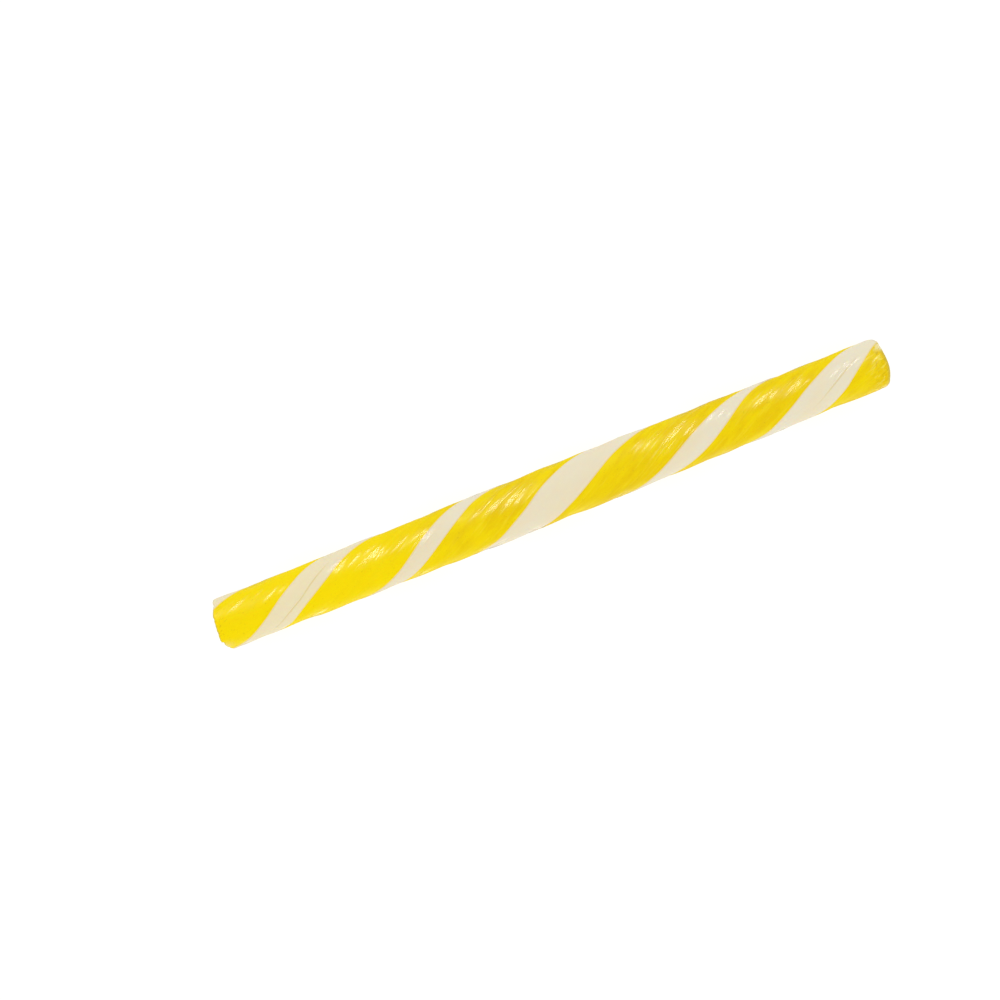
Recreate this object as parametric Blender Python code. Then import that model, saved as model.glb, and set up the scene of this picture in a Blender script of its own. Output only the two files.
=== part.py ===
"""A hard candy stick of pulled sugar, lying on its side.

One solid: a sugar rope twisted to the left, thickest near its middle and a little bowed, with
shallow lobes that follow the twist. Its ends are cut at a slant, so that their tops overhang and
their broken faces look down a little. Its underside is straight, because it cooled lying down, and
it rests on a narrow flat there.

Metres. X runs along the stick, Z is up, and the origin is under its middle on the surface it lies on.
"""

import math

import bmesh
import bpy
from mathutils import Vector

# The whole stick
LENGTH = 0.1320
THICKNESS_LEFT = 0.0097
THICKNESS_MIDDLE = 0.01025
THICKNESS_RIGHT = 0.0094
BOW = 0.00025  # how far the middle strays towards -Y
BOW_SKEW = 0.65  # below 1 the bow is fullest left of the middle
FLAT_DEPTH = 0.0003  # what the flat along the underside takes off the highest lobe

# The twist: the wide stripe crosses the top once a pitch
PITCH = 0.0522
WIDE_CROSSING = 0.0027  # its crossing nearest to the middle

# The section: lobes side by side, of uneven height
LOBES = 6
LOBE_HEIGHT = 0.00005
LOBE_UNEVENNESS = 0.00004
HIGHEST_LOBE = math.radians(15)
OVALNESS = 0.00004
OVAL_TURN = math.radians(-31)
RIPPLE = 0.00002  # slow swelling along the stick
RIPPLE_LENGTH = 0.017

# The cut ends. The side curves in over the shoulder to the rim, which bounds the broken face.
LEFT_SHOULDER = 0.0005
LEFT_RIM_SHARE = 0.94  # the rim's radius over the rope's
LEFT_FACE_BULGE = 0.0004
LEFT_LEAN = 0.30  # how far out the cut's top lies for each metre of Z
LEFT_SLANT = 0.07  # the shift along X for each metre of Y
RIGHT_SHOULDER = 0.0011
RIGHT_RIM_SHARE = 0.84
RIGHT_FACE_BULGE = 0.0004
RIGHT_LEAN = 0.30
RIGHT_SLANT = 0.04
LEAN_REACH = 0.008  # the lean dies out over this length of the side
FACE_UNEVENNESS = 0.00012
FACE_WAVE_ACROSS = 0.0069  # the length of the broken face's waves along Y
FACE_WAVE_UP = 0.0088  # and along Z
RIM_ROUNDING = 0.00015

# The chip out of the left rim
CHIP_DEPTH = 0.0004
CHIP_REACH = 0.0005
CHIP_ANGLE = math.radians(45)  # from the top towards -Y

# The stripes, as angles round the section
WIDE_STRIPE = math.radians(75)
NARROW_STRIPE = math.radians(45)

# How finely the surface is divided
SIDES = 48
STATIONS = 70
SHOULDER_RINGS = 3
FACE_RINGS = 4
SNAP_TO_FLAT = 0.00003  # points this near to the flat are put on it
WELD = 0.000001
SHARP_ANGLE = math.radians(35)

YELLOW = (0.87, 0.66, 0.012, 1.0)
WHITE = (0.81, 0.74, 0.60, 1.0)
GLOSS_ROUGHNESS = 0.28


def ease(share):
    """Runs from 0 to 1 with a level start and finish."""
    share = min(max(share, 0.0), 1.0)
    return share * share * (3.0 - 2.0 * share)


def radius_at(x):
    """The rope's own radius, before its lobes."""
    middle = THICKNESS_MIDDLE / 2.0
    end = (THICKNESS_LEFT if x < 0.0 else THICKNESS_RIGHT) / 2.0
    return middle + (end - middle) * ease(abs(x) / (LENGTH / 2.0))


def lobes_at(x, angle):
    """What the lobes add to the radius. angle turns with the rope, from the wide stripe's middle."""
    even = LOBE_HEIGHT * math.cos(LOBES * angle)
    uneven = LOBE_UNEVENNESS * math.cos(LOBES / 2.0 * (angle - HIGHEST_LOBE))
    oval = OVALNESS * math.cos(2.0 * (angle - OVAL_TURN))
    ripple = RIPPLE * math.sin(math.tau * x / RIPPLE_LENGTH + LOBES / 2.0 * angle)
    return even + uneven + oval + ripple


class CutEnd:
    """One cut end. outward is -1 on the left and 1 on the right."""

    def __init__(self, outward, shoulder, rim_share, bulge, lean, slant):
        self.outward = outward
        self.shoulder = shoulder
        self.bulge = bulge
        self.lean = lean
        self.slant = slant
        self.side_radius = radius_at(outward * LENGTH / 2.0)
        self.rim_radius = self.side_radius * rim_share
        overhang = self.rim_radius * math.hypot(lean, slant)
        self.rim = outward * (LENGTH / 2.0 - overhang)
        self.side_end = self.rim - outward * shoulder

    def profile(self):
        """Points (x, radius) from the middle of the face, over the rim, to where the side starts."""
        points = []
        for ring in range(FACE_RINGS + 1):
            share = ring / FACE_RINGS
            x = self.rim + self.outward * self.bulge * (1.0 - share**2)
            points.append((x, self.rim_radius * share))
        for ring in range(1, SHOULDER_RINGS + 1):
            turn = ring / SHOULDER_RINGS * math.pi / 2.0
            radius = self.rim_radius + (self.side_radius - self.rim_radius) * math.sin(turn)
            points.append((self.rim - self.outward * self.shoulder * (1.0 - math.cos(turn)), radius))
        return points

    def nearness(self, x):
        """1 at the cut, fading to 0 along the side."""
        return 1.0 - ease((self.rim - x) * self.outward / LEAN_REACH)


LEFT_END = CutEnd(-1, LEFT_SHOULDER, LEFT_RIM_SHARE, LEFT_FACE_BULGE, LEFT_LEAN, LEFT_SLANT)
RIGHT_END = CutEnd(1, RIGHT_SHOULDER, RIGHT_RIM_SHARE, RIGHT_FACE_BULGE, RIGHT_LEAN, RIGHT_SLANT)


def outline():
    """The outline that is turned round the stick's axis, from the left face to the right one."""
    start, finish = LEFT_END.side_end, RIGHT_END.side_end
    step = (finish - start) / STATIONS
    side = [start + step * station for station in range(1, STATIONS)]
    return LEFT_END.profile() + [(x, radius_at(x)) for x in side] + RIGHT_END.profile()[::-1]


def turn_outline(shape):
    """Spins the outline round the X axis and welds the middles of the two faces."""
    points = [shape.verts.new((x, 0.0, radius)) for x, radius in outline()]
    lines = [shape.edges.new(pair) for pair in zip(points, points[1:])]
    bmesh.ops.spin(
        shape,
        geom=points + lines,
        cent=(0.0, 0.0, 0.0),
        axis=(1.0, 0.0, 0.0),
        angle=math.tau,
        steps=SIDES,
        use_merge=True,
    )
    bmesh.ops.remove_doubles(shape, verts=shape.verts, dist=WELD)
    bmesh.ops.recalc_face_normals(shape, faces=shape.faces)


def colour_stripes(shape):
    """Gives the faces within the two stripes the second material, while the rope is untwisted."""
    for face in shape.faces:
        middle = face.calc_center_median()
        from_wide = abs(math.atan2(-middle.y, middle.z))
        from_narrow = math.pi - from_wide
        in_stripe = from_wide < WIDE_STRIPE / 2.0 or from_narrow < NARROW_STRIPE / 2.0
        face.material_index = 1 if in_stripe else 0


def round_rims(shape):
    """Rounds the edge where each face meets its shoulder."""
    edges = []
    for end in (LEFT_END, RIGHT_END):
        for edge in shape.edges:
            reach = [abs(vert.co.x - end.rim) for vert in edge.verts]
            radii = [abs(vert.co.yz.length - end.rim_radius) for vert in edge.verts]
            if max(reach + radii) < WELD:
                edges.append(edge)
    bmesh.ops.bevel(
        shape,
        geom=edges,
        offset=RIM_ROUNDING,
        offset_type="OFFSET",
        segments=2,
        profile=0.5,
        affect="EDGES",
        material=-1,
    )


def twist(shape):
    """Adds the lobes and turns each section by the twist, so that the mesh's lines follow it."""
    for vert in shape.verts:
        x, y, z = vert.co
        radius = math.hypot(y, z)
        angle = math.atan2(-y, z)
        radius += lobes_at(x, angle) * radius / radius_at(x)
        turned = angle - math.tau * (x - WIDE_CROSSING) / PITCH
        vert.co = (x, -radius * math.sin(turned), radius * math.cos(turned))


def chip_left_rim(shape):
    """Takes a small chip out of the left rim."""
    radius = LEFT_END.rim_radius
    y = -radius * math.sin(CHIP_ANGLE)
    z = radius * math.cos(CHIP_ANGLE)
    chip = Vector((LEFT_END.rim, y, z))
    for vert in shape.verts:
        nearness = math.exp(-(((vert.co - chip).length / CHIP_REACH) ** 2))
        vert.co.x += CHIP_DEPTH * nearness


def lean_ends(shape):
    """Roughens the two faces, leans their tops outwards and slants them across the stick."""
    for vert in shape.verts:
        x, y, z = vert.co
        across = math.tau * (y / FACE_WAVE_ACROSS)
        up = math.tau * (z / FACE_WAVE_UP)
        wave = FACE_UNEVENNESS * math.sin(across) * math.cos(up)
        for end in (LEFT_END, RIGHT_END):
            shift = wave + end.slant * y + end.outward * end.lean * z
            vert.co.x += shift * end.nearness(x)


def bow(shape):
    """Bends the stick a little to one side, and up as it thickens, so that its underside is straight."""
    for vert in shape.verts:
        share = min(max(vert.co.x / LENGTH + 0.5, 0.0), 1.0)
        vert.co.y -= BOW * math.sin(math.pi * share**BOW_SKEW)
        vert.co.z += radius_at(vert.co.x)


def stand_on_flat(shape):
    """Puts the box's middle over the origin and cuts the flat along the underside at Z 0."""
    low = Vector(min(vert.co[axis] for vert in shape.verts) for axis in range(3))
    high = Vector(max(vert.co[axis] for vert in shape.verts) for axis in range(3))
    middle = (low + high) / 2.0
    move = Vector((-middle.x, -middle.y, -low.z - FLAT_DEPTH))
    bmesh.ops.translate(shape, verts=shape.verts, vec=move)
    for vert in shape.verts:
        if abs(vert.co.z) < SNAP_TO_FLAT:
            vert.co.z = 0.0
    bmesh.ops.bisect_plane(
        shape,
        geom=shape.verts[:] + shape.edges[:] + shape.faces[:],
        dist=WELD,
        plane_co=(0.0, 0.0, 0.0),
        plane_no=(0.0, 0.0, -1.0),
        clear_outer=True,
    )
    open_edges = [edge for edge in shape.edges if edge.is_boundary]
    bmesh.ops.holes_fill(shape, edges=open_edges, sides=0)
    bmesh.ops.recalc_face_normals(shape, faces=shape.faces)


def sugar(name, colour):
    """Glossy boiled sugar of one colour."""
    material = bpy.data.materials.new(name)
    material.use_nodes = True
    shader = material.node_tree.nodes["Principled BSDF"]
    shader.inputs["Base Color"].default_value = colour
    shader.inputs["Roughness"].default_value = GLOSS_ROUGHNESS
    shader.inputs["Metallic"].default_value = 0.0
    material.diffuse_color = colour
    return material


def candy_stick():
    """The stick as one object."""
    shape = bmesh.new()
    turn_outline(shape)
    colour_stripes(shape)
    round_rims(shape)
    twist(shape)
    chip_left_rim(shape)
    lean_ends(shape)
    bow(shape)
    stand_on_flat(shape)
    mesh = bpy.data.meshes.new("candy_stick")
    shape.to_mesh(mesh)
    shape.free()
    mesh.materials.append(sugar("yellow_sugar", YELLOW))
    mesh.materials.append(sugar("white_sugar", WHITE))
    mesh.shade_smooth()
    mesh.set_sharp_from_angle(angle=SHARP_ANGLE)
    stick = bpy.data.objects.new("candy_stick", mesh)
    bpy.context.scene.collection.objects.link(stick)
    return stick


for old in list(bpy.data.objects):
    bpy.data.objects.remove(old, do_unlink=True)
candy_stick()
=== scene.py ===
"""The looks of a hard candy stick: glossy pulled sugar, lemon yellow with two ivory stripes.

One fine mesh stands for the whole stick. It is a sugar rope, turned and then twisted, with raised
stripes, the grain of pulled sugar along the twist, and ends that were snapped off. Metres. X runs
along the stick, +Y is the upper side of the picture and +Z faces the camera.
"""

import math

import bmesh
import bpy
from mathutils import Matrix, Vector, noise


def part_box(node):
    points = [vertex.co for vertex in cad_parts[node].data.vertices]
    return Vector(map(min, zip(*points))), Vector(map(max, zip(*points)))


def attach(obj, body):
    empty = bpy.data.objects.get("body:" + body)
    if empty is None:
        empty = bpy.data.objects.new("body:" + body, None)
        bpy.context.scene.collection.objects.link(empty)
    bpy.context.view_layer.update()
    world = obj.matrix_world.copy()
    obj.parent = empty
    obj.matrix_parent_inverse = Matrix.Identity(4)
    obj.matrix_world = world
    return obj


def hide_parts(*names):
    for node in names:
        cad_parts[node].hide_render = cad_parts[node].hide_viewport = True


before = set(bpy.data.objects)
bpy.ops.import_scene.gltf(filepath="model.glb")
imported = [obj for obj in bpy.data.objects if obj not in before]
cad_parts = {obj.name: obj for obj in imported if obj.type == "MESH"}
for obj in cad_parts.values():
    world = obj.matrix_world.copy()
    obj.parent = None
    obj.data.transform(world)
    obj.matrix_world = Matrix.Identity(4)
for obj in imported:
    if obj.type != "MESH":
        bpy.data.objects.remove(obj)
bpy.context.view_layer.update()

MM = 0.001

# The whole stick, as in its solid
LENGTH = 0.1320
THICKNESS_LEFT = 0.0097
THICKNESS_MIDDLE = 0.01025
THICKNESS_RIGHT = 0.0094
BOW = 0.00025
BOW_SKEW = 0.65
FLAT_DEPTH = 0.0003
PITCH = 0.0522
WIDE_CROSSING = 0.0027

# The section's lobes, as in its solid
LOBES = 6
LOBE_HEIGHT = 0.00005
LOBE_UNEVENNESS = 0.00004
HIGHEST_LOBE = math.radians(15)
OVALNESS = 0.00004
OVAL_TURN = math.radians(-31)
RIPPLE = 0.00002
RIPPLE_LENGTH = 0.017

# The cut ends, as in its solid
LEFT_SHOULDER = 0.0005
LEFT_RIM_SHARE = 0.94
LEFT_FACE_BULGE = 0.0004
LEFT_LEAN = 0.30
LEFT_SLANT = 0.07
RIGHT_SHOULDER = 0.0011
RIGHT_RIM_SHARE = 0.84
RIGHT_FACE_BULGE = 0.0004
RIGHT_LEAN = 0.30
RIGHT_SLANT = 0.04
LEAN_REACH = 0.008
FACE_UNEVENNESS = 0.00012
FACE_WAVE_ACROSS = 0.0069
FACE_WAVE_UP = 0.0088

# How finely the rope is divided
SIDES = 480
STATIONS = 150
SHOULDER_RINGS = 6
FACE_RINGS = 20
FACE_FROM = 0.9  # how far over the shoulder a point counts as one of the face
SNAP_TO_FLAT = 0.00001
WELD = 0.000001
SHARP_ANGLE = math.radians(50)

# The stripes' courses in the untwisted rope, as the photograph shows them: millimetres along the
# stick, and the two borders in degrees round it. The narrow stripe runs on the far side from the
# wide one.
WIDE_COURSE = (
    (-66, -16, 48),
    (-61, -18.5, 48),
    (-58.5, -23, 47),
    (-56, -27.5, 46),
    (-53, -32, 44),
    (-51, -33.5, 37),
    (-49.5, -34.5, 33.5),
    (-47, -37, 31.5),
    (-43, -37.5, 30.5),
    (-39.5, -38, 27.5),
    (-30, -39.5, 30),
    (-12, -46, 39.5),
    (-8.5, -48, 38.5),
    (-5, -47.5, 38),
    (-1.5, -49.5, 37),
    (1.5, -48, 36),
    (5, -46, 37.5),
    (13, -44, 39.5),
    (18, -42, 43.5),
    (38, -34, 47),
    (41, -33.5, 48),
    (43, -36.5, 48.5),
    (50, -39, 49.5),
    (53, -38, 48.5),
    (56, -38, 44.5),
    (58, -40, 41),
    (60, -41, 35.5),
    (62, -41, 31),
    (66, -41, 19),
)
NARROW_COURSE = (
    (-66, -16, 34),
    (-63.5, -16, 31.5),
    (-36, -16.5, 34),
    (-31, -18, 31),
    (-28.5, -21, 26.5),
    (-25, -24.5, 21),
    (-22, -25.5, 18.5),
    (-17, -27.5, 16.5),
    (-13, -29, 12.5),
    (2, -23, 23),
    (18, -17.5, 33.5),
    (24, -17, 38),
    (27, -15.5, 39.5),
    (30, -12.5, 40.5),
    (33, -9, 39),
    (36, -6.5, 36),
    (38, -5, 32),
    (40.5, -3.5, 27),
    (43, -4, 25),
    (66, -16, 26),
)
STRIPE_HEIGHT = 0.00005  # how far the white stands proud
STRIPE_SHOULDER = 0.6  # mm over which it rises
BORDER_GROOVE = 0.00003
BORDER_WIDTH = 0.22  # mm

# The seam inside the wide stripe, as between two bands of white, in the two places where it shows:
# millimetres along the stick, its angle in degrees, and how much of its full depth it has, in per
# cent.
SEAM_COURSE = (
    (-58, 15, 0),
    (-54.5, 15, 80),
    (-52.5, 11, 100),
    (-49.5, 11, 100),
    (-47.5, 8.5, 100),
    (-45, 6.5, 90),
    (-41, 6, 0),
    (49, 11, 0),
    (53, 11, 60),
    (55, 10.5, 100),
    (57.5, 11, 100),
    (59, 11, 120),
    (61, 9, 0),
)
FULL_SEAM = 100.0
SEAM_DEPTH = 0.00005
SEAM_WIDTH = 0.14  # mm
SEAM_RIDGE_ASIDE = 0.27  # mm from the seam to the low ridge along its upper side

# The pulled grain: how high its ridges are, how wide and how long
BROAD_RIDGE = (0.000035, 0.0026, 0.026)
MIDDLE_RIDGE = (0.000070, 0.0009, 0.008)
FINE_RIDGE = (0.000060, 0.00040, 0.006)
DIMPLE = (0.000030, 0.0026, 0.0045)
THREAD = (0.000045, 0.0011, 0.018)  # fine raised lines, where this noise crosses 0
THREAD_LAYERS = (0.0, 0.37)  # how far apart in metres their two noises are read
THREAD_WIDTH = 0.13  # how near 0 the noise is across a line
DULL_RIDGE_SHARE = 0.4  # how much of the middling ridges is left where the sugar is dull

# Single wrinkles, listed one by one: where each starts and ends along the stick in millimetres, its
# angle in the untwisted rope at its start and at its end in degrees, and its height in
# millimetres, below 0 for a crease.
WRINKLES = (
    (-45.0, -42.0, 3, 4, 0.05),
    (-31.6, -23.3, 128, 147, 0.06),
    (-30.5, -25.0, 136, 147, 0.05),
    (-28.5, -22.5, 124, 138, 0.05),
    (-40.5, -37.4, 122, 121, 0.04),
    (-23.4, -20.4, -124, -130, 0.04),
    (-22.0, -19.4, -117, -121, 0.03),
    (9.6, 13.2, 99, 107, -0.04),
    (11.0, 14.6, 96, 103, -0.03),
    (13.0, 17.8, 86, 95, 0.05),
    (17.1, 22.2, 80, 103, 0.05),
    (20.7, 23.0, 136, 137, 0.06),
    (22.2, 24.4, 143, 144, 0.06),
    (23.4, 26.0, 150, 151, 0.05),
    (22.5, 26.9, 113, 125, 0.08),
    (23.6, 29.5, 118, 134, 0.08),
    (25.8, 32.4, 131, 150, 0.08),
    (27.7, 35.0, 127, 148, 0.08),
    (52.0, 55.5, -60, -60, 0.04),
)
WRINKLE_WIDTH = 0.16  # mm
WRINKLE_FADE = 0.8  # mm over which its two ends fade

# The patches where the sugar is glossy. On the shown side they are listed: millimetres
# along the stick, degrees from the top towards the near side, their half sizes, and how strong
# the fine ridges are in them.
SHINY_PATCHES = (
    (-64.2, -28, 2.5, 13, 0.3),
    (-58, -27, 6.0, 16, 0.45),
    (-37, -26, 6.0, 20, 0.9),
    (-26.5, -18, 4.5, 20, 0.9),
    (-8.5, -28, 8.0, 22, 0.9),
    (19.5, -25, 3.5, 14, 0.4),
    (25, -28, 5.0, 20, 1.0),
    (22, 3, 3.5, 9, 1.0),
    (33.5, -22, 2.5, 15, 0.9),
    (41, -22, 3.0, 13, 0.3),
    (47, -26, 5.0, 18, 0.9),
    (57.5, -19, 4.5, 14, 1.0),
    (63.5, -6, 1.5, 16, 1.0),
)
PATCH_FILL = 1.7  # how solid the middle of a patch is,
PATCH_TRIM = 0.2  # how much of its faint outskirts is left out,
PATCH_RAG = 0.0017  # how long the rags along its edge are,
PATCH_RAGGEDNESS = 1.4  # and how deep
FAINTEST_GLOSS = 0.6  # how glossy a patch without ridges is

# Round the rest of the stick they are scattered
SHOWN_SIDE = math.radians(65)  # how far from the top the listed patches reach
SCATTERED_FROM = 0.75  # where the others set in, in shares of that angle,
SCATTERED_FULL = 1.25  # and where there are as many as there will be
SCATTERED_SIZE = 0.0050
SCATTERED_CONTRAST = 2.0
SCATTERED_SHARE = 0.05

# The gloss breaks up into strokes where the ridges are strong and into blotches where they are
# faint: how sharply, how wide and how long.
STROKE = (3.0, 0.0008, 0.0055)
BLOTCH = (1.8, 0.0020, 0.0070)
STROKES_FILL = 0.45  # how much of a patch they cover,
BREAK_UP = 0.85  # and how much less glossy it is between them

# Where the rims are bruised to a pale frost: millimetres along the stick, degrees from the top
# towards the near side, the half sizes and the strength.
FROSTED = (
    (65.6, -38, 0.9, 11, 0.8),
    (-65.2, 58, 1.3, 15, 0.35),
)

# The broken faces
SCALLOP_DEPTH = 0.00016
SCALLOP_SIZE = 0.0021
CRUMB_DEPTH = 0.00009
CRUMB_SIZE = 0.00045
RIM_NICK = 0.00032
RIM_NICK_SIZE = 0.0009
RIM_UNNICKED = 0.05  # how far a noise has to rise before the rim is nicked
RIM_BAND = 0.0009
FACE_OVER_RIM = 0.6  # how much of the rim's band the face's roughness takes

# The left face's outline, as it was broken
LEFT_DRAWN_BACK = 0.00033  # how far its upper half is drawn back,
LEFT_BACK_FROM = -0.0022  # from this Y
LEFT_BACK_OVER = 0.0030
LEFT_CORNER_OUT = 0.00025  # its uppermost corner stands out again by this much,
LEFT_CORNER_FROM = 0.0037  # from this Y
LEFT_CORNER_OVER = 0.0009
LEFT_CHIP_DEPTH = 0.0003  # the chip along its lower edge,
LEFT_CHIP_FROM = -0.00305  # from this Y
LEFT_CHIP_STEP = 0.00015

# What each point of the mesh notes for the material. white is how many millimetres it lies inside
# a stripe, seam is 1 on the seam, shine is how glossy it is, sunk is how many millimetres below
# the side it is, rim is 1 on the rims and the faces, frost is how frosted it is, and pit is how
# hollow a face is there.
NOTES = ("white", "seam", "shine", "sunk", "rim", "frost", "pit")
ROPE_NOTE = "rope"  # its place in the untwisted rope


def ease(share):
    """Runs from 0 to 1 with a level start and finish."""
    share = min(max(share, 0.0), 1.0)
    return share * share * (3.0 - 2.0 * share)


def bell(distance, reach):
    """1 at no distance, fading away past the reach."""
    return math.exp(-((distance / reach) ** 2))


def within_half_turn(angle):
    """The same direction as an angle between minus and plus a half turn."""
    return (angle + math.pi) % math.tau - math.pi


def along(course, x):
    """The two numbers of a course at x, smoothly through its rows."""
    place = x / MM
    first = 0
    while first < len(course) - 2 and place > course[first + 1][0]:
        first += 1
    here, there = course[first], course[first + 1]
    before, after = course[max(first - 1, 0)], course[min(first + 2, len(course) - 1)]
    step = there[0] - here[0]
    share = min(max((place - here[0]) / step, 0.0), 1.0)
    read = []
    for column in (1, 2):
        start = (there[column] - before[column]) / (there[0] - before[0]) * step
        finish = (after[column] - here[column]) / (after[0] - here[0]) * step
        rise = there[column] - here[column]
        value = here[column] + share * start
        value += share**2 * (3.0 * rise - 2.0 * start - finish)
        value += share**3 * (start + finish - 2.0 * rise)
        read.append(value)
    return read


def radius_at(x):
    """The rope's own radius, before its lobes."""
    middle = THICKNESS_MIDDLE / 2.0
    end = (THICKNESS_LEFT if x < 0.0 else THICKNESS_RIGHT) / 2.0
    return middle + (end - middle) * ease(abs(x) / (LENGTH / 2.0))


def lobes_at(x, angle):
    """What the lobes add to the radius. angle turns with the rope, from the wide stripe's middle."""
    even = LOBE_HEIGHT * math.cos(LOBES * angle)
    uneven = LOBE_UNEVENNESS * math.cos(LOBES / 2.0 * (angle - HIGHEST_LOBE))
    oval = OVALNESS * math.cos(2.0 * (angle - OVAL_TURN))
    ripple = RIPPLE * math.sin(math.tau * x / RIPPLE_LENGTH + LOBES / 2.0 * angle)
    return even + uneven + oval + ripple


def inside_white(x, angle):
    """How far inside a white stripe a point of the side lies, in mm round it; below 0 outside."""
    insides = []
    for home, course in ((0.0, WIDE_COURSE), (math.pi, NARROW_COURSE)):
        first, last = (math.radians(border) for border in along(course, x))
        off = abs(within_half_turn(angle - home - (first + last) / 2.0))
        insides.append(((last - first) / 2.0 - off) * radius_at(x) / MM)
    return max(insides)


def seam_at(x, angle):
    """How deep the seam in the wide stripe is at x, from 0 to 1, and how many mm aside of it a
    point lies.
    """
    course, depth = along(SEAM_COURSE, x)
    shown = min(max(depth / FULL_SEAM, 0.0), 1.0) if x > SEAM_COURSE[0][0] * MM else 0.0
    return shown, within_half_turn(angle - math.radians(course)) * radius_at(x) / MM


def ridge(size, place):
    """Noise drawn out along the rope. size is its height, width and length."""
    height, width, length = size
    return height * noise.noise(Vector((place.x / length, place.y / width, place.z / width)))


def threads_at(place):
    """Fine rounded lines along the rope, where a noise crosses 0."""
    height, width, length = THREAD
    highest = 0.0
    for layer in THREAD_LAYERS:
        aside = ridge((1.0, width, length), place + Vector((layer, 0.0, 0.0)))
        highest = max(highest, bell(aside, THREAD_WIDTH))
    return height * highest


def wrinkles_at(x, angle):
    """What the single wrinkles add to the radius."""
    place = x / MM
    height = 0.0
    for start, finish, first_angle, last_angle, rise in WRINKLES:
        if start - WRINKLE_FADE < place < finish + WRINKLE_FADE:
            share = (place - start) / (finish - start)
            course = math.radians(first_angle + (last_angle - first_angle) * share)
            aside = within_half_turn(angle - course) * radius_at(x) / MM
            set_in = ease((place - start) / WRINKLE_FADE + 0.5)
            runs_out = ease((finish - place) / WRINKLE_FADE + 0.5)
            height += rise * MM * set_in * runs_out * bell(aside, WRINKLE_WIDTH)
    return height


def inside_spot(spot, x, turned):
    """1 in the middle of a spot, fading away past its half sizes. turned is the angle from the top."""
    middle, bearing, half_length, half_width = spot
    along_stick = (x / MM - middle) / half_length
    around = math.degrees(within_half_turn(turned - math.radians(bearing))) / half_width
    return bell(math.hypot(along_stick, around), 1.0)


def shine_at(x, turned, place):
    """How glossy the sugar is, and how strong its fine ridges are there, from 0 to 1."""
    scattered = ease(noise.noise(place / SCATTERED_SIZE) * SCATTERED_CONTRAST + SCATTERED_SHARE)
    beyond = abs(within_half_turn(turned)) / SHOWN_SIDE - SCATTERED_FROM
    scattered *= ease(beyond / (SCATTERED_FULL - SCATTERED_FROM))
    placed, grain = 0.0, 1.0
    for *spot, ridges in SHINY_PATCHES:
        here = inside_spot(spot, x, turned)
        if here > 0.0:
            grain = (placed * grain + here * ridges) / (placed + here)
        placed = max(placed, here)
    ragged = PATCH_RAGGEDNESS * noise.noise(place / PATCH_RAG)
    strokes = grain * ridge(STROKE, place) + (1.0 - grain) * ridge(BLOTCH, place)
    broken_up = BREAK_UP * ease(STROKES_FILL + strokes) + 1.0 - BREAK_UP
    glossiest = FAINTEST_GLOSS + (1.0 - FAINTEST_GLOSS) * grain
    patch = ease(PATCH_FILL * placed - PATCH_TRIM + ragged * placed)
    shine = broken_up * max(scattered, glossiest * patch)
    return shine, shine * grain


def frost_at(x, turned):
    """How frosted a point is, from 0 to 1."""
    return max(strength * inside_spot(spot, x, turned) for *spot, strength in FROSTED)


def relief_at(place, white, seam, aside, grain):
    """What the stripes, the seam and the pulled grain add to the radius."""
    raised = STRIPE_HEIGHT * (ease(white / STRIPE_SHOULDER + 0.5) - 0.5)
    groove = BORDER_GROOVE * bell(white, BORDER_WIDTH)
    step = bell(aside + SEAM_RIDGE_ASIDE, SEAM_WIDTH) - bell(aside, SEAM_WIDTH)
    middling = (DULL_RIDGE_SHARE + (1.0 - DULL_RIDGE_SHARE) * grain) * ridge(MIDDLE_RIDGE, place)
    fine = grain * (ridge(FINE_RIDGE, place) + threads_at(place))
    ridges = ridge(BROAD_RIDGE, place) + middling + fine
    return raised - groove + SEAM_DEPTH * seam * step + ridges + ridge(DIMPLE, place)


class CutEnd:
    """One cut end. outward is -1 on the left and 1 on the right."""

    def __init__(self, outward, shoulder, rim_share, bulge, lean, slant):
        self.outward = outward
        self.shoulder = shoulder
        self.bulge = bulge
        self.lean = lean
        self.slant = slant
        self.side_radius = radius_at(outward * LENGTH / 2.0)
        self.rim_radius = self.side_radius * rim_share
        overhang = self.rim_radius * math.hypot(lean, slant)
        self.rim = outward * (LENGTH / 2.0 - overhang)
        self.side_end = self.rim - outward * shoulder

    def profile(self):
        """Points (x, radius) from the middle of the face, over the rim, to where the side starts."""
        points = []
        for ring in range(FACE_RINGS + 1):
            share = ring / FACE_RINGS
            x = self.rim + self.outward * self.bulge * (1.0 - share**2)
            points.append((x, self.rim_radius * share))
        for ring in range(1, SHOULDER_RINGS + 1):
            turn = ring / SHOULDER_RINGS * math.pi / 2.0
            x = self.rim - self.outward * self.shoulder * (1.0 - math.cos(turn))
            radius = self.rim_radius + (self.side_radius - self.rim_radius) * math.sin(turn)
            points.append((x, radius))
        return points

    def onto_rim(self, x):
        """How far over the shoulder a point is: 0 on the side, 1 at the rim and on the face."""
        return min(max((x - self.side_end) * self.outward / self.shoulder, 0.0), 1.0)

    def nearness(self, x):
        """1 at the cut, fading to 0 along the side."""
        return 1.0 - ease((self.rim - x) * self.outward / LEAN_REACH)


LEFT_END = CutEnd(-1, LEFT_SHOULDER, LEFT_RIM_SHARE, LEFT_FACE_BULGE, LEFT_LEAN, LEFT_SLANT)
RIGHT_END = CutEnd(1, RIGHT_SHOULDER, RIGHT_RIM_SHARE, RIGHT_FACE_BULGE, RIGHT_LEAN, RIGHT_SLANT)


def outline():
    """The outline that is turned round the stick's axis, from the left face to the right one."""
    start, finish = LEFT_END.side_end, RIGHT_END.side_end
    step = (finish - start) / STATIONS
    side = [start + step * station for station in range(1, STATIONS)]
    return LEFT_END.profile() + [(x, radius_at(x)) for x in side] + RIGHT_END.profile()[::-1]


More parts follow.
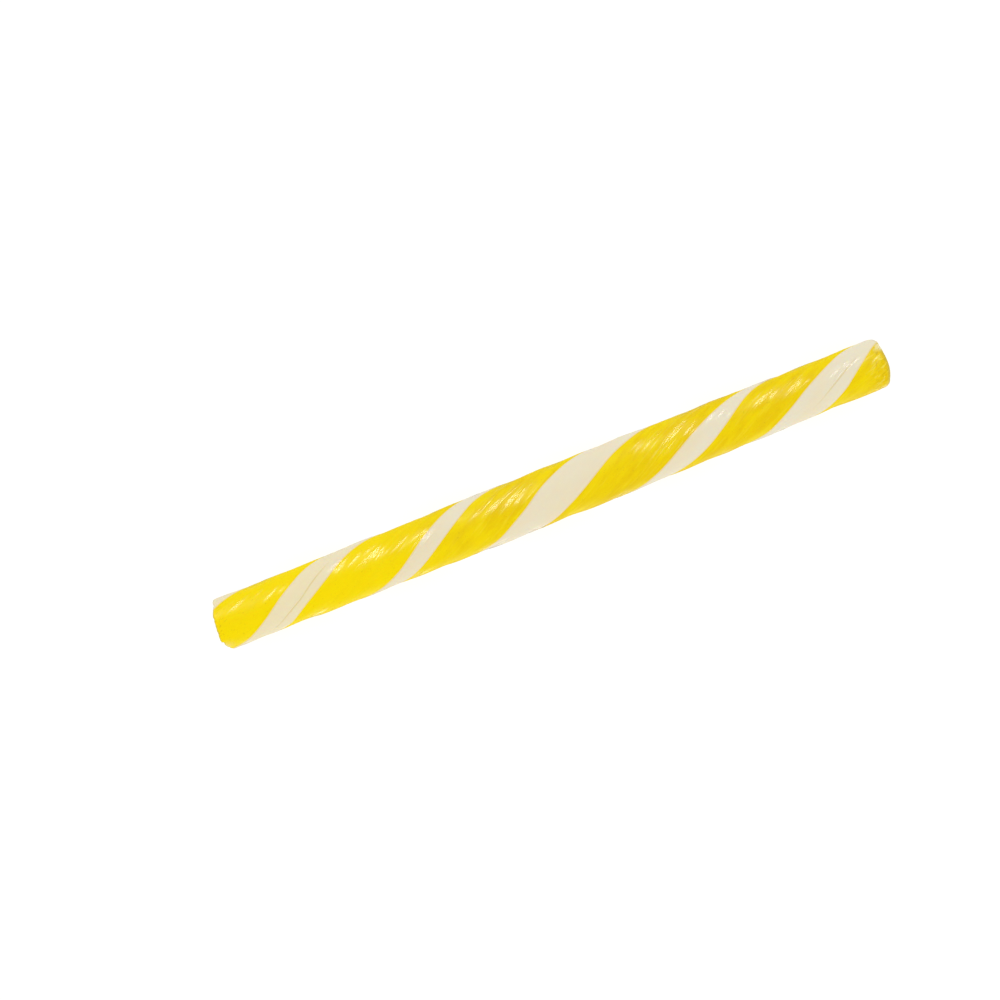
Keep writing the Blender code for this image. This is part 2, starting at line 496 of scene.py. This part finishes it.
def turn_outline(shape):
    """Spins the outline round the X axis and welds the middles of the two faces."""
    points = [shape.verts.new((x, 0.0, radius)) for x, radius in outline()]
    lines = [shape.edges.new(pair) for pair in zip(points, points[1:])]
    bmesh.ops.spin(
        shape,
        geom=points + lines,
        cent=(0.0, 0.0, 0.0),
        axis=(1.0, 0.0, 0.0),
        angle=math.tau,
        steps=SIDES,
        use_merge=True,
    )
    bmesh.ops.remove_doubles(shape, verts=shape.verts, dist=WELD)
    bmesh.ops.recalc_face_normals(shape, faces=shape.faces)


def lean_at(x, y, z):
    """How far a point moves along the stick as the ends are leaned, slanted and broken."""
    across = math.tau * (y / FACE_WAVE_ACROSS)
    up = math.tau * (z / FACE_WAVE_UP)
    wave = FACE_UNEVENNESS * math.sin(across) * math.cos(up)
    shift = 0.0
    for end in (LEFT_END, RIGHT_END):
        shift += (wave + end.slant * y + end.outward * end.lean * z) * end.nearness(x)
    inwards = LEFT_DRAWN_BACK * ease((y - LEFT_BACK_FROM) / LEFT_BACK_OVER)
    inwards -= LEFT_CORNER_OUT * ease((y - LEFT_CORNER_FROM) / LEFT_CORNER_OVER)
    inwards += LEFT_CHIP_DEPTH * ease((LEFT_CHIP_FROM - y) / LEFT_CHIP_STEP)
    return shift + inwards * LEFT_END.nearness(x)


def above_flat(outermost, own, turned):
    """How much of its radius a point keeps, so that the rope ends at the flat below it.

    outermost is the largest radius in the point's direction and own is the rope's own radius.
    """
    downwards = -math.cos(turned)
    if downwards <= 0.0:
        return 1.0
    return min((own - FLAT_DEPTH) / downwards / outermost, 1.0)


def mark_and_twist(shape, rope, notes):
    """Notes what each point of the untwisted rope is made of, raises the relief and twists it.

    The stripes' courses hold for the finished stick, so they are read where the lean of the ends
    will have taken the point.
    """
    for vert in shape.verts:
        x, y, z = vert.co
        radius = math.hypot(y, z)
        angle = math.atan2(-y, z)
        own = radius_at(x)
        turned = angle - math.tau * (x - WIDE_CROSSING) / PITCH
        shift = lean_at(x, -radius * math.sin(turned), radius * math.cos(turned))
        seen_x = x + shift
        seen_angle = angle + math.tau * shift / PITCH
        side_place = Vector((x, y, z))
        if radius > WELD:
            side_place.yz = side_place.yz * (own / radius)

        end = LEFT_END if x < 0.0 else RIGHT_END
        onto_rim = end.onto_rim(x)
        white = inside_white(seen_x, seen_angle)
        seam, aside = seam_at(seen_x, seen_angle)
        shine, grain = shine_at(seen_x, turned, side_place)
        vert[rope] = (x, y, z)
        vert[notes["white"]] = white
        vert[notes["seam"]] = seam * bell(aside, SEAM_WIDTH)
        vert[notes["shine"]] = shine
        vert[notes["sunk"]] = (own - radius) / MM
        vert[notes["rim"]] = onto_rim
        vert[notes["frost"]] = frost_at(seen_x, turned)

        lift = lobes_at(x, angle) + wrinkles_at(seen_x, seen_angle)
        lift += relief_at(side_place, white, seam, aside, grain)
        outermost = max(radius, end.rim_radius) if onto_rim > FACE_FROM else radius
        radius *= 1.0 + lift / own
        outermost *= 1.0 + lift / own
        radius *= above_flat(outermost, own, turned)
        vert.co = (x, -radius * math.sin(turned), radius * math.cos(turned))


def break_face(shape, end, pit):
    """Roughens one broken face with scallops and crumbs, and nicks its rim, all inwards."""
    for vert in shape.verts:
        x, y, z = vert.co
        beyond_side = (x - end.side_end) * end.outward
        if beyond_side < -WELD:
            continue
        radius = math.hypot(y, z)
        on_face = ease((end.rim_radius - radius) / RIM_BAND + FACE_OVER_RIM)
        place = Vector((end.outward, y, z))
        nearest = noise.voronoi(place / SCALLOP_SIZE)[0]
        scallop = SCALLOP_DEPTH * (1.0 - min(nearest[0], 1.0) ** 2)
        crumb = CRUMB_DEPTH * (0.5 + noise.noise(place / CRUMB_SIZE))
        vert[pit] = (scallop + crumb) / (SCALLOP_DEPTH + CRUMB_DEPTH)
        at_rim = bell(radius - end.rim_radius, RIM_BAND / 2.0)
        nick = RIM_NICK * max(noise.noise(place / RIM_NICK_SIZE) - RIM_UNNICKED, 0.0)
        vert.co.x -= end.outward * (on_face * (scallop + crumb) + at_rim * nick)


def lean_ends(shape):
    """Leans the two faces' tops outwards, slants the faces and breaks the left one's outline."""
    for vert in shape.verts:
        vert.co.x += lean_at(*vert.co)


def bow(shape):
    """Bends the stick a little to one side, and up as it thickens, so that its underside is straight."""
    for vert in shape.verts:
        share = min(max(vert.co.x / LENGTH + 0.5, 0.0), 1.0)
        vert.co.y -= BOW * math.sin(math.pi * share**BOW_SKEW)
        vert.co.z += radius_at(vert.co.x)


def fit_in_box(shape, lowest, highest):
    """Fits the stick to its solid's box, with the flat along the underside at Z 0."""
    low = Vector(min(vert.co[axis] for vert in shape.verts) for axis in range(3))
    high = Vector(max(vert.co[axis] for vert in shape.verts) for axis in range(3))
    share = Vector((highest - lowest)[axis] / (high - low)[axis] for axis in range(3))
    bmesh.ops.translate(shape, verts=shape.verts, vec=-(low + high) / 2.0)
    bmesh.ops.scale(shape, verts=shape.verts, vec=share)
    bmesh.ops.translate(shape, verts=shape.verts, vec=(lowest + highest) / 2.0)
    for vert in shape.verts:
        if abs(vert.co.z) < SNAP_TO_FLAT:
            vert.co.z = 0.0
    bmesh.ops.recalc_face_normals(shape, faces=shape.faces)


def sugar_stick(material):
    """The whole stick as one mesh."""
    shape = bmesh.new()
    turn_outline(shape)
    rope = shape.verts.layers.float_vector.new(ROPE_NOTE)
    notes = {name: shape.verts.layers.float.new(name) for name in NOTES}
    mark_and_twist(shape, rope, notes)
    break_face(shape, LEFT_END, notes["pit"])
    break_face(shape, RIGHT_END, notes["pit"])
    lean_ends(shape)
    bow(shape)
    fit_in_box(shape, *(Vector(corner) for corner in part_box("candy_stick")))
    mesh = bpy.data.meshes.new("twisted_sugar_stick")
    shape.to_mesh(mesh)
    shape.free()
    mesh.materials.append(material)
    mesh.shade_smooth()
    mesh.set_sharp_from_angle(angle=SHARP_ANGLE)
    stick = bpy.data.objects.new("twisted_sugar_stick", mesh)
    bpy.context.scene.collection.objects.link(stick)
    return stick


class Nodes:
    """Adds nodes to a tree."""

    def __init__(self, tree):
        self.tree = tree

    def add(self, kind, inputs=None, **settings):
        """A new node. An input is given as a value or as the output that feeds it."""
        node = self.tree.nodes.new(kind)
        for name, value in settings.items():
            setattr(node, name, value)
        for name, value in (inputs or {}).items():
            self.feed(node.inputs[name], value)
        return node

    def feed(self, socket, value):
        """Sets a socket, or links an output to it."""
        if isinstance(value, bpy.types.NodeSocket):
            self.tree.links.new(value, socket)
        else:
            socket.default_value = value

    def note(self, name, output="Fac"):
        """What each point of the mesh notes under a name."""
        return self.add("ShaderNodeAttribute", attribute_name=name).outputs[output]

    def drawn_out(self, vector, stretch, scale, detail):
        """Noise drawn out along the rope: its features are stretch times as long as they are wide."""
        drawn = self.add(
            "ShaderNodeVectorMath",
            {0: vector, 1: (1.0 / stretch, 1.0, 1.0)},
            operation="MULTIPLY",
        )
        spots = self.add(
            "ShaderNodeTexNoise",
            {"Vector": drawn.outputs[0], "Scale": scale, "Detail": detail},
        )
        return spots.outputs["Fac"]

    def between(self, value, low, high, start=0.0, finish=1.0, kind="SMOOTHSTEP"):
        """Reads a value's place between low and high, as a step from start to finish."""
        step = self.add(
            "ShaderNodeMapRange",
            {"Value": value, "From Min": low, "From Max": high, "To Min": start, "To Max": finish},
            interpolation_type=kind,
        )
        return step.outputs["Result"]

    def sums(self, operation, first, second):
        """One sum on two values."""
        return self.add("ShaderNodeMath", {0: first, 1: second}, operation=operation).outputs[0]

    def times(self, first, second):
        """Two values multiplied."""
        return self.sums("MULTIPLY", first, second)

    def plus(self, first, second):
        """Two values added."""
        return self.sums("ADD", first, second)

    def mix(self, share, first, second):
        """A colour between two colours."""
        node = self.add("ShaderNodeMix", {"Factor": share}, data_type="RGBA")
        # the node has sockets named A and B for numbers and vectors too
        first_colour, second_colour = (place for place in node.inputs if place.type == "RGBA")
        self.feed(first_colour, first)
        self.feed(second_colour, second)
        return next(place for place in node.outputs if place.type == "RGBA")


def new_material(name):
    """A material, its nodes and its shader."""
    material = bpy.data.materials.new(name)
    material.use_nodes = True
    tree = material.node_tree
    return material, Nodes(tree), tree.nodes["Principled BSDF"]


# The colours of the yellow sugar,
LEMON = (0.910, 0.700, 0.002, 1.0)
GOLD = (0.835, 0.590, 0.003, 1.0)
BRIGHT_LEMON = (0.965, 0.735, 0.001, 1.0)
PALE_LEMON = (0.930, 0.790, 0.120, 1.0)
END_GOLD = (0.780, 0.520, 0.006, 1.0)
FLECK = (0.550, 0.350, 0.010, 1.0)
# of the white stripes,
IVORY = (0.830, 0.760, 0.575, 1.0)
WARM_IVORY = (0.840, 0.735, 0.510, 1.0)
BUTTER_IVORY = (0.860, 0.755, 0.480, 1.0)
BORDER_GOLD = (0.860, 0.580, 0.120, 1.0)
SEAM_YELLOW = (0.700, 0.520, 0.120, 1.0)
# and of the ends
# painted shade: the olive that darkens the rims, as their edge seen at a grazing angle
PAINTED_RIM_SHADE = (0.520, 0.430, 0.080, 1.0)
FROST = (0.880, 0.800, 0.480, 1.0)
CORE = (0.850, 0.740, 0.360, 1.0)
HONEY = (0.790, 0.640, 0.200, 1.0)

# The noises in the sugar: how many times longer than wide, how many to the metre, and how much
# finer detail they have
CLOUDS = (3.0, 160.0, 2.0)
MOTTLES = (2.5, 700.0, 3.0)
STREAKS = (14.0, 900.0, 3.0)
HAIRS = (14.0, 2600.0, 2.0)
FIBRES = (18.0, 5000.0, 1.0)
CRUMBS = (1.0, 2400.0, 3.0)
GRAINS = (2.0, 1900.0, 2.0)
NOISE_MIDDLE = 0.5

# How the colours read those noises and the notes. A pair is the values between which something
# sets in, and two more numbers are how strong it is at the one and at the other.
CLOUDS_IN_TONE = 0.35
MOTTLES_IN_TONE = 0.4
STREAKS_IN_TONE = 0.15
CRUMBS_IN_TONE = 0.1
LEFT_PALER = (0.0, -LENGTH / 2.0, 0.0, 0.12)
GOLD_TO_LEMON = (0.40, 0.62)
HAIR_EDGE = (0.55, 0.66)
# the pale hairs: faint streaks of drawn-out air at the low end, painted glints towards the glossy end
HAIRS_AND_PAINTED_GLINTS_BY_SHINE = (0.0, 0.6, 0.10, 0.5)
LEFT_BRIGHTER = (-0.010, -0.040, 0.0, 0.9)
RIGHT_DULLER = (0.0590, 0.0660, 0.0, 0.55)
NEAR_ENDS = (0.0605, 0.0655, 0.0, 0.08)
FLECK_EDGE = (0.63, 0.70, 0.0, 0.28)
RIGHT_GRAINY = (0.0600, 0.0640)
DARK_GRAIN = (0.44, 0.36, 0.0, 0.4)
PALE_GRAIN = (0.58, 0.66, 0.0, 0.6)
WARM_TO_IVORY = (0.35, 0.65)
LEFT_BUTTERY = (-0.028, -0.050, 0.0, 0.8)
BORDER_WANDER = 0.4  # mm
WHITE_EDGE = (-0.05, 0.05)
BORDER_TINT = (0.05, 0.40, 0.45, 0.0)
SEAM_TINT = 0.5
# where the painted shade along the rims sets in, and how deep it is on the yellow and on the white
RIM_SHADE_EDGE = (0.12, 0.7)
RIM_SHADE_ON_YELLOW = 0.55
RIM_SHADE_ON_WHITE = 0.22
FROST_EDGE = (0.0, 0.7)
FROST_CRUMBS = (0.3, 0.5)
CRUMBLED_EDGE = 0.5  # mm
CORE_EDGE = (0.75, 1.25)
CRUMBS_IN_PITS = 0.6
HONEY_IN_PITS = (0.25, 1.0, 0.0, 0.8)

# How the gloss reads them
FULL_SHINE = 0.6
DULL_YELLOW_ROUGHNESS = 0.50
DULL_WHITE_ROUGHNESS = 0.60
SHINY_ROUGHNESS = 0.17
CUT_ROUGHER = (0.3, 1.0, 0.0, 0.25)
DULL_SPECULAR = 0.03
SHINY_YELLOW_SPECULAR = 0.22
SHINY_WHITE_SPECULAR = 0.13
FIBRE_BY_SHINE = (0.0, 0.7, 0.25, 1.0)
FIBRE_DEPTH = 0.00005

# How light gets a little way into it, further for the warmer colours
SUGAR_IOR = 1.53
SCATTERING = 0.2
SCATTERING_REACH = 0.0006
SCATTERING_BY_COLOUR = (1.0, 0.6, 0.2)


class PulledSugar:
    """Boiled sugar, pulled until it is satiny: what its colour and its gloss are worked out from."""

    def __init__(self, nodes):
        self.nodes = nodes
        rope = nodes.note(ROPE_NOTE, "Vector")
        self.white = nodes.note("white")
        self.seam = nodes.note("seam")
        self.shine = nodes.note("shine")
        self.sunk = nodes.note("sunk")
        self.rim = nodes.note("rim")
        self.frost = nodes.note("frost")
        self.pit = nodes.note("pit")
        self.along_stick = nodes.add("ShaderNodeSeparateXYZ", {"Vector": rope}).outputs["X"]
        self.clouds = nodes.drawn_out(rope, *CLOUDS)
        self.mottles = nodes.drawn_out(rope, *MOTTLES)
        self.streaks = nodes.drawn_out(rope, *STREAKS)
        self.hairs = nodes.drawn_out(rope, *HAIRS)
        self.fibres = nodes.drawn_out(rope, *FIBRES)
        self.crumbs = nodes.drawn_out(rope, *CRUMBS)
        self.grains = nodes.drawn_out(rope, *GRAINS)
        wander = nodes.times(nodes.sums("SUBTRACT", self.streaks, NOISE_MIDDLE), BORDER_WANDER)
        self.inside = nodes.plus(self.white, wander)
        self.is_white = nodes.between(self.inside, *WHITE_EDGE)

    def yellow(self):
        """Lemon and gold in clouds and streaks, with pale hairs, more of them as painted glints where it
        is glossy, and flecks.
        """
        nodes = self.nodes
        tone = nodes.times(self.clouds, CLOUDS_IN_TONE)
        tone = nodes.plus(tone, nodes.times(self.mottles, MOTTLES_IN_TONE))
        tone = nodes.plus(tone, nodes.times(self.streaks, STREAKS_IN_TONE))
        tone = nodes.plus(tone, nodes.times(self.crumbs, CRUMBS_IN_TONE))
        tone = nodes.plus(tone, nodes.between(self.along_stick, *LEFT_PALER))
        tone = nodes.between(tone, *GOLD_TO_LEMON)
        colour = nodes.mix(tone, GOLD, LEMON)
        # pale hairs: faint streaks of drawn-out air all over, and painted glint streaks where the sugar
        # is glossy
        by_shine = nodes.between(self.shine, *HAIRS_AND_PAINTED_GLINTS_BY_SHINE)
        hairs_and_painted_glints = nodes.times(nodes.between(self.hairs, *HAIR_EDGE), by_shine)
        colour = nodes.mix(hairs_and_painted_glints, colour, PALE_LEMON)
        brighter = nodes.mix(tone, LEMON, BRIGHT_LEMON)
        colour = nodes.mix(nodes.between(self.along_stick, *LEFT_BRIGHTER), colour, brighter)
        colour = nodes.mix(nodes.between(self.along_stick, *RIGHT_DULLER), colour, END_GOLD)
        from_middle = nodes.sums("ABSOLUTE", self.along_stick, 0.0)
        dense = nodes.plus(self.crumbs, nodes.between(from_middle, *NEAR_ENDS))
        colour = nodes.mix(nodes.between(dense, *FLECK_EDGE), colour, FLECK)
        grainy = nodes.between(self.along_stick, *RIGHT_GRAINY)
        dark = nodes.times(nodes.between(self.grains, *DARK_GRAIN), grainy)
        colour = nodes.mix(dark, colour, FLECK)
        pale = nodes.times(nodes.between(self.grains, *PALE_GRAIN), grainy)
        return nodes.mix(pale, colour, PALE_LEMON)

    def ivory(self):
        """The stripes' white, warmer in clouds and to the left, with a golden border and seam."""
        nodes = self.nodes
        colour = nodes.mix(nodes.between(self.clouds, *WARM_TO_IVORY), WARM_IVORY, IVORY)
        buttery = nodes.between(self.along_stick, *LEFT_BUTTERY)
        colour = nodes.mix(buttery, colour, BUTTER_IVORY)
        colour = nodes.mix(nodes.between(self.inside, *BORDER_TINT), colour, BORDER_GOLD)
        return nodes.mix(nodes.times(self.seam, SEAM_TINT), colour, SEAM_YELLOW)

    def side(self):
        """The stripes on the yellow, with painted shade along the rims and the frost on them."""
        nodes = self.nodes
        colour = nodes.mix(self.is_white, self.yellow(), self.ivory())
        # painted shade along the rims, less deep on the white
        darkest = nodes.between(self.is_white, 0.0, 1.0, RIM_SHADE_ON_YELLOW, RIM_SHADE_ON_WHITE)
        at_rim = nodes.between(self.rim, *RIM_SHADE_EDGE, 0.0, darkest)
        colour = nodes.mix(at_rim, colour, PAINTED_RIM_SHADE)
        frosted = nodes.between(self.frost, *FROST_EDGE)
        frosted = nodes.times(frosted, nodes.between(self.crumbs, *FROST_CRUMBS))
        return nodes.mix(frosted, colour, FROST)

    def core(self):
        """The inside that the broken faces show, deeper in its pits."""
        nodes = self.nodes
        crumbs = nodes.times(nodes.sums("SUBTRACT", self.crumbs, NOISE_MIDDLE), CRUMBS_IN_PITS)
        hollow = nodes.plus(self.pit, crumbs)
        return nodes.mix(nodes.between(hollow, *HONEY_IN_PITS), CORE, HONEY)

    def colour(self):
        """The side, and the core where a face is broken."""
        depth = self.nodes.plus(self.sunk, self.nodes.times(self.crumbs, CRUMBLED_EDGE))
        return self.nodes.mix(self.nodes.between(depth, *CORE_EDGE), self.side(), self.core())

    def roughness(self):
        """Satin, smooth in the glossy patches and rougher on the broken faces."""
        nodes = self.nodes
        dull = nodes.between(self.is_white, 0.0, 1.0, DULL_YELLOW_ROUGHNESS, DULL_WHITE_ROUGHNESS)
        gloss = nodes.between(self.shine, 0.0, FULL_SHINE, dull, SHINY_ROUGHNESS, kind="LINEAR")
        return nodes.plus(gloss, nodes.between(self.sunk, *CUT_ROUGHER))

    def specular(self):
        """How strongly it mirrors, which is little outside the glossy patches."""
        shiniest = self.nodes.between(
            self.is_white, 0.0, 1.0, SHINY_YELLOW_SPECULAR, SHINY_WHITE_SPECULAR
        )
        return self.nodes.between(self.shine, 0.0, FULL_SHINE, DULL_SPECULAR, shiniest)

    def fibre_bump(self):
        """The finest fibres, too fine for the mesh."""
        nodes = self.nodes
        height = nodes.times(self.fibres, nodes.between(self.shine, *FIBRE_BY_SHINE))
        bump = nodes.add("ShaderNodeBump", {"Height": height, "Distance": FIBRE_DEPTH})
        return bump.outputs["Normal"]


def pulled_sugar():
    """The stick's one material: lemon yellow, with ivory stripes and a pale core."""
    material, nodes, shader = new_material("pulled_sugar")
    sugar = PulledSugar(nodes)
    nodes.feed(shader.inputs["Base Color"], sugar.colour())
    nodes.feed(shader.inputs["Roughness"], sugar.roughness())
    nodes.feed(shader.inputs["Specular IOR Level"], sugar.specular())
    nodes.feed(shader.inputs["Normal"], sugar.fibre_bump())
    shader.inputs["IOR"].default_value = SUGAR_IOR
    shader.inputs["Subsurface Weight"].default_value = SCATTERING
    shader.inputs["Subsurface Radius"].default_value = SCATTERING_BY_COLOUR
    shader.inputs["Subsurface Scale"].default_value = SCATTERING_REACH
    return material


FLOOR_SPAN = 3.0
FLOOR_DROP = 0.00002
FLOOR_COLOUR = (0.20, 0.20, 0.20, 1.0)
FLOOR_GLOW = (1.0, 1.0, 1.0, 1.0)
FLOOR_GLOW_STRENGTH = 0.86


def pale_floor():
    """A plain white sheet. Most of its white is a glow, so that it stays white round the stick.

    The stick's gloss doesn't see it, and the light below it shines through.
    """
    shape = bmesh.new()
    bmesh.ops.create_grid(shape, x_segments=1, y_segments=1, size=FLOOR_SPAN / 2.0)
    bmesh.ops.translate(shape, verts=shape.verts, vec=(0.0, 0.0, -FLOOR_DROP))
    mesh = bpy.data.meshes.new("pale_floor")
    shape.to_mesh(mesh)
    shape.free()
    material, _, shader = new_material("pale_paper")
    shader.inputs["Base Color"].default_value = FLOOR_COLOUR
    shader.inputs["Roughness"].default_value = 0.9
    shader.inputs["Specular IOR Level"].default_value = 0.0
    shader.inputs["Emission Color"].default_value = FLOOR_GLOW
    shader.inputs["Emission Strength"].default_value = FLOOR_GLOW_STRENGTH
    mesh.materials.append(material)
    floor = bpy.data.objects.new("pale_floor", mesh)
    floor.visible_glossy = False
    floor.visible_shadow = False
    bpy.context.scene.collection.objects.link(floor)
    return floor


TENT_LIGHT = 0.98
UNDER_TABLE_LIGHT = 0.3
TABLE_EDGE = (-0.10, 0.0)  # the upward part of a direction, from under the table to the tent
LIGHT_DISTANCE = 0.6


def light_tent():
    """Even white light from all round, dimmer from below the table."""
    world = bpy.data.worlds.new("light_tent")
    world.use_nodes = True
    nodes = Nodes(world.node_tree)
    direction = nodes.add("ShaderNodeTexCoord").outputs["Generated"]
    upward = nodes.add("ShaderNodeSeparateXYZ", {"Vector": direction}).outputs["Z"]
    background = world.node_tree.nodes["Background"]
    background.inputs["Color"].default_value = (1.0, 1.0, 1.0, 1.0)
    strength = nodes.between(upward, *TABLE_EDGE, UNDER_TABLE_LIGHT, TENT_LIGHT)
    nodes.feed(background.inputs["Strength"], strength)
    bpy.context.scene.world = world


def gloss_light(name, bearing, height, size, power):
    """A softbox that faces the stick and shows only in its gloss.

    bearing turns from +X towards +Y and height is its elevation, both in degrees.
    """
    light = bpy.data.lights.new(name, "AREA")
    light.shape = "RECTANGLE"
    light.size, light.size_y = size
    light.energy = power
    lamp = bpy.data.objects.new(name, light)
    bearing, height = math.radians(bearing), math.radians(height)
    aside = LIGHT_DISTANCE * math.cos(height)
    up = LIGHT_DISTANCE * math.sin(height)
    lamp.location = (aside * math.cos(bearing), aside * math.sin(bearing), up)
    lamp.rotation_euler = lamp.location.to_track_quat("Z", "Y").to_euler()
    lamp.visible_diffuse = False
    lamp.visible_camera = False
    bpy.context.scene.collection.objects.link(lamp)


def studio():
    """The tent, a softbox for the glints, and the white table's shine on the stick's near side.

    The floor itself is hidden from the gloss, because its shine would pale the far side too.
    """
    light_tent()
    gloss_light("window", bearing=90, height=46, size=(0.50, 0.28), power=5.6)
    gloss_light("table_shine", bearing=-90, height=-42, size=(1.2, 0.30), power=2.8)


# The camera looks straight down, turned so that the stick lies across the picture as it does in
# the photograph. The stick's middle is at this pixel of the square picture.
PICTURE = 1000
STICK_MIDDLE = (551.3, 494.5)
STICK_TURN = math.radians(21.72)
METRES_A_PIXEL = 0.00018283
CAMERA_HEIGHT = 1.5
SENSOR = 36.0


def camera_above():
    """The camera at the photograph's viewing angle."""
    right = Vector((math.cos(STICK_TURN), -math.sin(STICK_TURN), 0.0))
    up = Vector((math.sin(STICK_TURN), math.cos(STICK_TURN), 0.0))
    aside = (PICTURE / 2.0 - STICK_MIDDLE[0]) * METRES_A_PIXEL
    above = (STICK_MIDDLE[1] - PICTURE / 2.0) * METRES_A_PIXEL
    view = bpy.data.cameras.new("camera")
    view.sensor_width = SENSOR
    middle_height = THICKNESS_MIDDLE / 2.0
    view.lens = SENSOR * (CAMERA_HEIGHT - middle_height) / (PICTURE * METRES_A_PIXEL)
    camera = bpy.data.objects.new("camera", view)
    camera.location = right * aside + up * above + Vector((0.0, 0.0, CAMERA_HEIGHT))
    camera.rotation_euler = (0.0, 0.0, -STICK_TURN)
    bpy.context.scene.collection.objects.link(camera)
    bpy.context.scene.camera = camera


stick = sugar_stick(pulled_sugar())
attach(stick, "root")
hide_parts("candy_stick")

pale_floor()
studio()
camera_above()
bpy.context.scene.view_settings.view_transform = "Standard"
